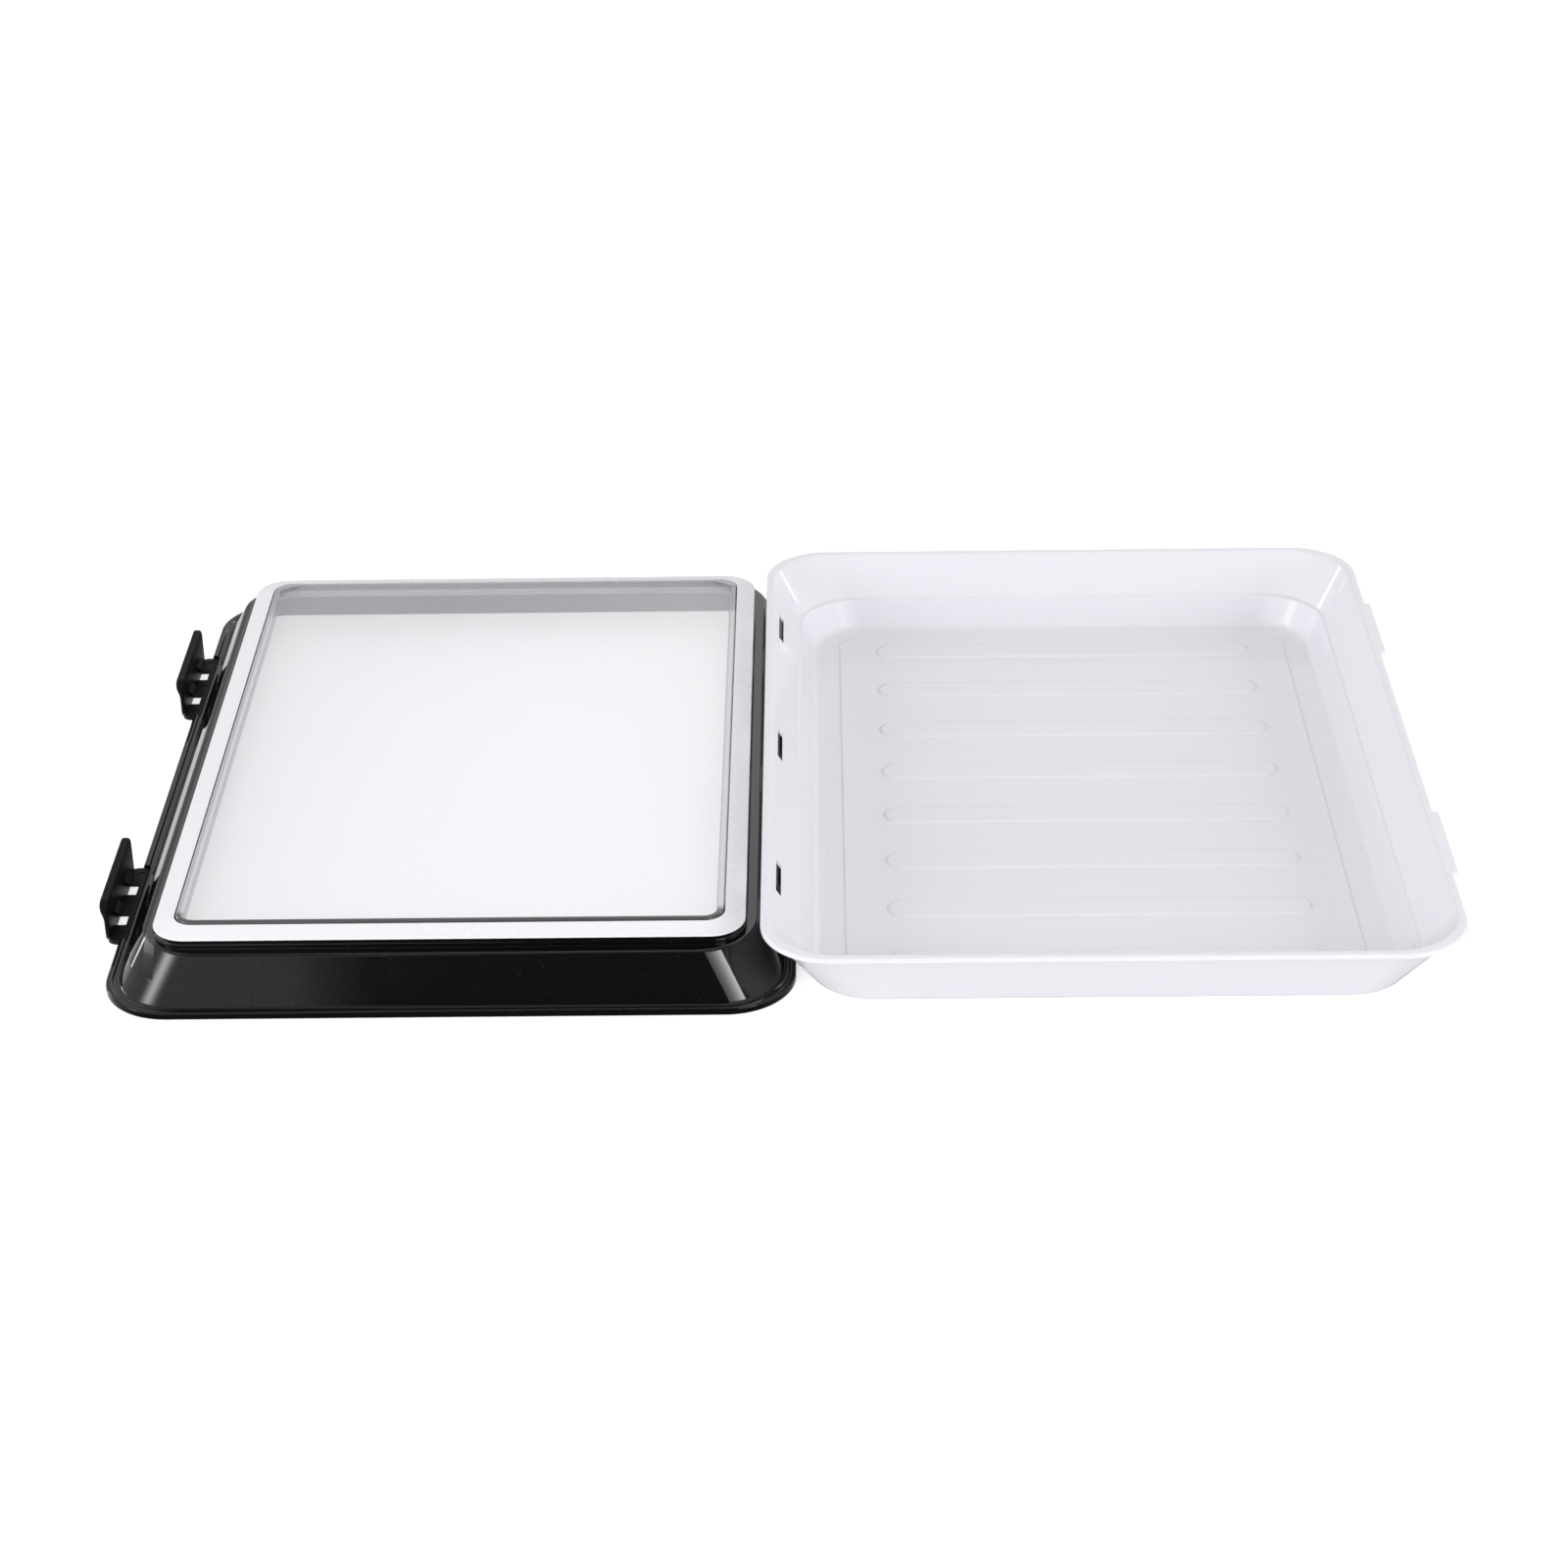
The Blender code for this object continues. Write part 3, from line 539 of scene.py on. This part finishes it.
details = [shell]
for y in spaced(tray["ribCount"], tray["ribSpacing"]):
    base = tray["panelTop"] - tray["ribSunk"]
    rib = raisedPad(tray["ribHalfLength"], tray["ribHalfWidth"], base, tray["ribSteps"])
    details.append(moved(rib, (0, y, 0)))
for y in spaced(tray["tabCount"], tray["tabSpacing"]):
    wide, _, thick = tray["tabSize"]
    middleX = rimSize["halfWidth"] + tray["tabReach"] - wide / 2
    middleZ = tray["height"] - tray["tabSunk"] - thick / 2
    details.append(roundedBox(tray["tabSize"], (middleX, y, middleZ), tray["tabRound"], 4))
for x, y in tray["markPlaces"]:
    mark = raisedPad(tray["markHalfLength"], tray["markHalfWidth"], tray["markBase"], tray["markSteps"], 40)
    details.append(moved(mark, (x, y, 0)))
finishPiece(joined(details), "trayShell", trayMiddle, "tray", "tray", paints["tray"])


# Lid frame

lid = {
    "section": [
        (0.4, 0.0, 0.55), (0.4, 2.6, 0.7), (2.2, 2.6, 0.35), (2.8, 1.7, 0.3), (4.4, 1.7, 0.6),
        (12.7, 17.1, 0.8), (16.6, 17.1, 0.3), (16.6, 18.5, 0.12), (16.9, 18.8, 0.12),
        (16.9, 20.0, 0.25), (23.4, 20.0, 0), (23.4, 21.6, 0.1), (23.9, 21.6, 0.1), (23.9, 18.6, 0.3),
        (18.7, 18.6, 0.5), (18.7, 15.5, 0.5), (13.74, 15.5, 0.8), (6.98, 0.3, 0.2), (6.8, 0.0, 0.1),
    ],
    "skirtFoot": (4.4, 1.7, 21.6), "skirtTop": (12.7, 17.1, 21.9), "lipCorner": 23.1,
    "lipBelow": 3.0, "ledgeAbove": 12.0, "ledgeStart": 2.2, "ledgeEnd": 16.6,
    "collarInset": 16.9, "collarCorner": 11.8, "ringWidth": 6.3, "openingCorner": 7.0, "leastCorner": 3.5,
    "tongueSize": (7.0, 19.2, 2.2), "tongueMiddle": (107.35, 7.3), "tongueRound": 0.2,
    "notchSize": (6.0, 49.4, 8.0),
}


def collarCorner(inset, height=0.0):
    share = (inset - lid["collarInset"]) / lid["ringWidth"]
    return max(lid["collarCorner"] + share * (lid["openingCorner"] - lid["collarCorner"]), lid["leastCorner"])


def lidCorner(inset, height):
    # the skirt's wall runs parallel to its outer face, flange and collar have their own corners, and
    # the ledge blends from skirt to collar
    footInset, footHeight, footCorner = lid["skirtFoot"]
    topInset, topHeight, topCorner = lid["skirtTop"]
    share = (height - footHeight) / (topHeight - footHeight)
    skirtInset = footInset + share * (topInset - footInset)
    if inset < skirtInset and height < lid["lipBelow"]:
        return lid["lipCorner"] - inset * (lid["lipCorner"] - footCorner) / footInset
    skirt = footCorner + max(share, 0) * (topCorner - footCorner) - (inset - skirtInset)
    begin, end = skirtInset + lid["ledgeStart"], lid["ledgeEnd"]
    blend = min(max((inset - begin) / (end - begin), 0), 1) if height > lid["ledgeAbove"] else 0
    return skirt * (1 - blend) + collarCorner(inset) * blend


frameShell = sweepRound(lid["section"], lidCorner, closed=True, steps=24)
tongues = []
for y in spaced(tray["slotCount"], tray["slotSpacing"]):
    tongueX, tongueZ = lid["tongueMiddle"]
    tongues.append(roundedBox(lid["tongueSize"], (tongueX, y, tongueZ), lid["tongueRound"], 2))
notches = []
for y in spaced(tray["tabCount"], tray["tabSpacing"]):
    notches.append(roundedBox(lid["notchSize"], (-rimSize["halfWidth"], y, 0.0), 0))
frameShell = worked(frameShell, [("UNION", tongues), ("DIFFERENCE", notches)])
finishPiece(frameShell, "lidFrame", lidMiddle, "lid", "lid_frame", paints["black"])


# Sealing ring, clear rim and film

seal = {
    "section": [
        (16.9, 20.02, 0.1), (16.9, 20.5, 0.25), (20.2, 21.35, 4.0), (23.7, 22.15, 0.3), (23.7, 21.75, 0.1),
        (23.25, 21.75, 0.05), (23.25, 20.02, 0.1),
    ],
}
ringShell = sweepRound(seal["section"], collarCorner, closed=True, steps=20, roundSteps=5)
finishPiece(ringShell, "sealRing", lidMiddle, "lid", "sealing_ring", paints["ring"])

clearRim = {
    "section": [
        (19.3, 17.8, 0), (19.3, 18.3, 0), (24.1, 18.3, 0), (24.1, 22.9, 1.15), (26.5, 22.9, 1.15),
        (26.5, 17.8, 0.2),
    ],
}
rimShell = sweepRound(clearRim["section"], collarCorner, closed=True, steps=20, roundSteps=8)
finishPiece(rimShell, "clearRimBead", lidMiddle, "lid", "film_rim", paints["bead"])

film = {
    "insets": [26.1, 27.0, 28.5, 31.0, 35.0, 41.0, 50.0, 62.0, 76.0, 92.0], "edgeHeight": 20.35,
    "sag": 0.35, "sagWithin": 22.0, "edgeCorner": 5.2, "cornerLoss": 0.03, "leastCorner": 3.6,
    "thickness": 0.25, "outerCorners": 60, "outerReach": 80.0,
}


def filmHeight(inset):
    return film["edgeHeight"] - film["sag"] * (1 - math.exp(-(inset - film["insets"][0]) / film["sagWithin"]))


def filmCorner(inset, height):
    return max(film["edgeCorner"] - (inset - film["insets"][0]) * film["cornerLoss"], film["leastCorner"])


filmSection = [(inset, filmHeight(inset), 0) for inset in film["insets"]]
filmShell = sweepRound(filmSection, filmCorner, closed=False, steps=10, straight=10)
# filling the holes also closed the outer edge, with one face of many corners
outer = []
for face in filmShell.faces:
    reach = max(abs(vert.co.x) for vert in face.verts)
    if len(face.verts) > film["outerCorners"] and reach > film["outerReach"]:
        outer.append(face)
bmesh.ops.delete(filmShell, geom=outer, context="FACES_ONLY")
bmesh.ops.recalc_face_normals(filmShell, faces=filmShell.faces)
bmesh.ops.solidify(filmShell, geom=filmShell.faces[:], thickness=film["thickness"])
filmPiece = finishPiece(
    filmShell, "stretchFilm", lidMiddle, "lid", "stretch_film", paints["film"]
)


# Latches: a web on the hinge, and a paddle with windows at its foot and snap hooks

latch = {
    "webSize": (6.8, 48.6, 1.6), "webMiddle": -2.6, "webCorner": 3.5, "hingeRound": 0.98,
    "paddleLength": 48.0, "paddleTop": 15.0, "paddleIn": 4.6, "paddleOut": 6.0, "topRound": 4.0,
    "footRound": 3.0, "innerSkew": 0.02, "trimWidth": 20.0, "flare": 1.4, "flareStart": 8.2, "flareSteps": 8,
    "lipWidth": 2.6, "lipRound": 0.8, "lipEdge": 0.5, "lipHeight": 0.8, "lipFoot": 3.4,
    "windowSize": (3.5, 8.0, 6.0), "windowCount": 2, "windowSpacing": 20.0,
    "hookLength": 7.4, "hookIn": 3.1, "hookRoot": 0.7, "hookNose": 0.8, "hookHeight": 2.4, "catchHeight": 4.0,
    "markCount": 3, "markSpacing": 19.8, "markX": -1.5, "markRadius": 1.6, "markDepth": 0.4, "markLift": 0.05,
    "grooveCount": 3, "grooveStart": 0.75, "groovePitch": 0.7, "grooveSize": 0.34, "grooveEnds": 10.0,
}


def bevelled(bm, edges, rounding, segments):
    bmesh.ops.bevel(
        bm, geom=edges, offset=rounding, segments=segments, profile=0.5, affect="EDGES", material=-1
    )
    return bm


def roundAlong(bm, along, rounding, segments, chosen):
    # rounds the edges along one axis whose middle is chosen
    edges = []
    for edge in bm.edges:
        first, second = [vert.co for vert in edge.verts]
        if abs((second - first).normalized()[along]) > 0.99 and chosen((first + second) / 2):
            edges.append(edge)
    return bevelled(bm, edges, rounding, segments)


def makePaddle(lipOut):
    top, lipIn = latch["paddleTop"], lipOut - latch["lipWidth"]
    outline = [(latch["paddleIn"], 0.0), (latch["paddleOut"], 0.0)]
    for step in range(latch["flareSteps"] + 1):
        share = step / latch["flareSteps"]
        ease = share * share * (3 - 2 * share)
        height = latch["flareStart"] + share * (top - latch["lipEdge"] - latch["flareStart"])
        outline.append((latch["paddleOut"] + latch["flare"] * ease, height))
    # the top is cut to its height by the pillow below
    outline += [(lipOut, top + 1), (lipIn, top + 1), (lipIn, top - latch["lipHeight"])]
    outline += [(latch["paddleIn"] + latch["innerSkew"], top - latch["lipFoot"])]
    paddle = pushedOutline(outline, latch["paddleLength"] / 2)
    # a wide box rounds the foot's ends, and a pillow shape the top's ends and the lip
    size = (latch["trimWidth"], latch["paddleLength"], 2 * top)
    trim = roundedBox(size, (-latch["trimWidth"] / 2, 0, top), 0)
    roundAlong(trim, 0, latch["footRound"], 6, lambda middle: middle.z < top)
    wide = lipOut - latch["paddleIn"]
    pillow = roundedBox((wide, latch["paddleLength"], 2 * top), (-lipOut + wide / 2, 0, 0), 0)
    roundAlong(pillow, 0, latch["topRound"], 8, lambda middle: middle.z > 0)
    rims = [edge for edge in pillow.edges if abs(edge.verts[0].co.x - edge.verts[1].co.x) < 0.01]
    bevelled(pillow, rims, latch["lipRound"], 4)
    return worked(paddle, [("INTERSECT", [trim, pillow])])


def makeHook():
    catch, hookIn = latch["catchHeight"], latch["hookIn"]
    root, top = latch["paddleIn"] + latch["hookRoot"], latch["catchHeight"] + latch["hookHeight"]
    outline = [(root, catch), (hookIn, catch), (hookIn, catch + latch["hookNose"])]
    outline += [(latch["paddleIn"], top), (root, top)]
    return pushedOutline(outline, latch["hookLength"] / 2)


def makeMark():
    mark = bmesh.new()
    radius = latch["markRadius"]
    bmesh.ops.create_cone(
        mark, cap_ends=True, segments=28, radius1=radius, radius2=radius, depth=latch["markDepth"]
    )
    return mark


def makeGroove():
    size = latch["grooveSize"]
    groove = roundedBox((size, latch["paddleLength"] - latch["grooveEnds"], size), (0, 0, 0), 0)
    slant = Matrix.Rotation(math.radians(45), 3, "Y")
    bmesh.ops.rotate(groove, cent=(0, 0, 0), matrix=slant, verts=groove.verts)
    return groove


def makeLatch():
    thick, webMiddle = latch["webSize"][2], latch["webMiddle"]
    web = roundedBox(latch["webSize"], (webMiddle, 0, 0), 0)
    roundAlong(web, 2, latch["webCorner"], 6, lambda middle: middle.x < webMiddle)
    roundAlong(web, 1, thick / 2 * latch["hingeRound"], 6, lambda middle: middle.x > 0)
    lipOut = latch["paddleOut"] + latch["flare"]
    windows, hooks, cuts = [], [], []
    for y in spaced(latch["windowCount"], latch["windowSpacing"]):
        windowX = -latch["paddleIn"] + latch["windowSize"][0] / 2
        windows.append(roundedBox(latch["windowSize"], (windowX, y, 0), 0))
        hooks.append(moved(makeHook(), (0, y, 0)))
    for y in spaced(latch["markCount"], latch["markSpacing"]):
        cuts.append(moved(makeMark(), (latch["markX"], y, thick / 2 + latch["markLift"])))
    for i in range(latch["grooveCount"]):
        out = lipOut - latch["grooveStart"] - i * latch["groovePitch"]
        cuts.append(moved(makeGroove(), (-out, 0, latch["paddleTop"])))
    jobs = [("UNION", [makePaddle(lipOut)]), ("DIFFERENCE", windows), ("UNION", hooks), ("DIFFERENCE", cuts)]
    return worked(web, jobs)


for joint in frame["joints"]:
    if joint["type"] == "hinge":
        node = joint["child"]
        place = Vector(joint["pos_m"]) * metre
        name = "latchRear" if place.y > 0 else "latchFront"
        finishPiece(
            makeLatch(), name, place, node, node, paints["latch"], sharpAt=30, bevel=0.18
        )


# Table, lamps and world

studio = {
    "tableSize": 12.0, "tableColour": (0.60, 0.60, 0.60), "tableGlow": 0.64,
    "tableMirrored": 0.42, "tableMirroredNear": 0.04, "nearEdge": -0.138,
    "tableMirroredLeft": 1.15, "leftEdge": -0.21, "edgeSoft": 0.02,
    "worldLight": 0.54, "worldSeen": 1.0, "worldMirrored": 0.70, "worldMirroredBack": 0.52,
    "backEdges": {"y": 0.3, "ySoft": 0.6, "x": -0.06, "xSoft": 0.10},
    "lamps": [
        {"name": "topSoftbox", "place": (0.05, 0.15, 1.5), "size": (0.9, 0.6), "power": 1.2},
        {"name": "frontFill", "place": (0.1, -1.8, 1.26), "size": (1.6, 0.9), "power": 17.5},
        {"name": "leftFill", "place": (-1.9, -0.5, 0.6), "size": (1.2, 0.9), "power": 23.0},
        {"name": "rightFill", "place": (1.9, -0.5, 0.6), "size": (1.2, 0.9), "power": 19.0},
    ],
    "lampsMirrored": ["topSoftbox"],
    # what shiny surfaces mirror, in degrees: azimuth from the camera's side, to the right, and elevation
    "elevationSoft": 4.0,
    "boxes": [
        {"azimuth": (-9.2, 20.0), "elevation": (-20.0, 80.0), "soft": 0.8, "levels": (0.05, 0.05)},
        {"azimuth": (20.0, 50.0), "elevation": (27.0, 41.0), "soft": 0.8, "levels": (1.9, 13.0)},
        {"azimuth": (50.0, 115.0), "elevation": (4.0, 60.0), "soft": 1.0, "levels": (0.32, 0.6)},
        {"azimuth": (-200.0, 200.0), "elevation": (64.0, 100.0), "soft": 0.8, "levels": (0.2, 0.2)},
        {"azimuth": (123.8, 126.2), "elevation": (8.0, 30.0), "soft": 0.8, "levels": (10.0, 10.0)},
        {"azimuth": (-126.6, -123.2), "elevation": (8.0, 34.0), "soft": 0.8, "levels": (14.0, 14.0)},
    ],
    "glows": [
        {"azimuth": -69.0, "elevation": 30.0, "wide": 11.0, "high": 4.5, "level": 10.0},
    ],
}


def makeTable():
    bm = bmesh.new()
    bmesh.ops.create_grid(bm, x_segments=1, y_segments=1, size=studio["tableSize"] / 2)
    table = asObject(bm, "table")
    paint = Paint("tableWhite")
    white = paint.node("ShaderNodeBsdfDiffuse", inputs={"Color": (*studio["tableColour"], 1)})
    lift = paint.node("ShaderNodeEmission", inputs={"Color": (1, 1, 1, 1), "Strength": studio["tableGlow"]})
    lit = paint.node("ShaderNodeAddShader", inputs=[white, lift])
    # shiny plastic mirrors a darker table, darkest towards the camera and lighter to the left
    spot, soft = paint.node("ShaderNodeSeparateXYZ", inputs=[paint.place()]), studio["edgeSoft"]
    farther = paint.risen(spot.other("Y"), studio["nearEdge"], soft)
    leftward = paint.risen(spot * -1.0, -studio["leftEdge"], soft)
    far = studio["tableMirrored"] + leftward * (studio["tableMirroredLeft"] - studio["tableMirrored"])
    strength = studio["tableMirroredNear"] + farther * (far - studio["tableMirroredNear"])
    dim = paint.node("ShaderNodeEmission", inputs={"Color": (1, 1, 1, 1), "Strength": strength})
    mirrored = paint.node("ShaderNodeLightPath", out=3)  # Is Glossy Ray
    table.data.materials.append(paint.show(paint.node("ShaderNodeMixShader", inputs=[mirrored, lit, dim])))


def makeLamp(look):
    data = bpy.data.lights.new(look["name"], "AREA")
    data.shape = "RECTANGLE"
    data.size, data.size_y = look["size"]
    data.energy = look["power"]
    lamp = bpy.data.objects.new(look["name"], data)
    lamp.location = look["place"]
    lamp.rotation_euler = (-Vector(look["place"])).to_track_quat("-Z", "Y").to_euler()
    lamp.visible_glossy = look["name"] in studio["lampsMirrored"]
    bpy.context.scene.collection.objects.link(lamp)


def makeWorld():
    paint = Paint("studioWorld", world=True)
    bpy.context.scene.world = paint.owner
    path = paint.node("ShaderNodeLightPath")
    seen = path + path.other("Is Transmission Ray")
    mirrored = path.other("Is Glossy Ray")
    x = paint.node("ShaderNodeSeparateXYZ", inputs=[paint.node("ShaderNodeTexCoord")])
    y, z = x.other("Y"), x.other("Z")
    azimuth = x.join("ARCTAN2", x, y * -1.0) * (180 / math.pi)
    elevation = x.join("ARCSINE", z, 0.0) * (180 / math.pi)
    # the wall behind is brightest behind the tray and falls off towards the lid's left
    edges = studio["backEdges"]
    behind = paint.risen(y, edges["y"], edges["ySoft"]) * paint.risen(x, edges["x"], edges["xSoft"])
    room = studio["worldMirrored"] + studio["worldMirroredBack"] * behind
    for box in studio["boxes"]:
        (left, right), (low, high), (first, last) = box["azimuth"], box["elevation"], box["levels"]
        inside = paint.between(azimuth, left, right, box["soft"])
        inside = inside * paint.between(elevation, low, high, studio["elevationSoft"])
        share = paint.rise(azimuth, left, right)
        room = room * (1 - inside) + (first + share * share * (last - first)) * inside
    for glow in studio["glows"]:
        across = (azimuth - glow["azimuth"]) * (1 / glow["wide"])
        upward = (elevation - glow["elevation"]) * (1 / glow["high"])
        room = room + glow["level"] * math.e ** (0.0 - across * across - upward * upward)
    other = 1 - paint.node("ShaderNodeClamp", inputs=[seen + mirrored])
    strength = seen * studio["worldSeen"] + mirrored * room + other * studio["worldLight"]
    paint.show(paint.node("ShaderNodeBackground", inputs={"Color": (1, 1, 1, 1), "Strength": strength}))


makeTable()
makeWorld()
for look in studio["lamps"]:
    makeLamp(look)
print("studio made:", len(studio["lamps"]), "lamps")


# Camera

view = {
    "place": (0.0157, -1.08585, 0.6074), "down": 29.06, "yaw": 0.686, "roll": -0.882,
    "lens": 78.5, "sensor": 36.0,
}
cameraData = bpy.data.cameras.new("photoCamera")
cameraData.lens = view["lens"]
cameraData.sensor_width = view["sensor"]
camera = bpy.data.objects.new("photoCamera", cameraData)
bpy.context.scene.collection.objects.link(camera)
yaw, tilt, roll = [math.radians(degrees) for degrees in (view["yaw"], 90 - view["down"], view["roll"])]
turn = Matrix.Rotation(yaw, 4, "Z") @ Matrix.Rotation(tilt, 4, "X") @ Matrix.Rotation(roll, 4, "Z")
camera.matrix_world = Matrix.Translation(view["place"]) @ turn
bpy.context.scene.camera = camera
bpy.context.scene.view_settings.view_transform = "Standard"

print("scene made")
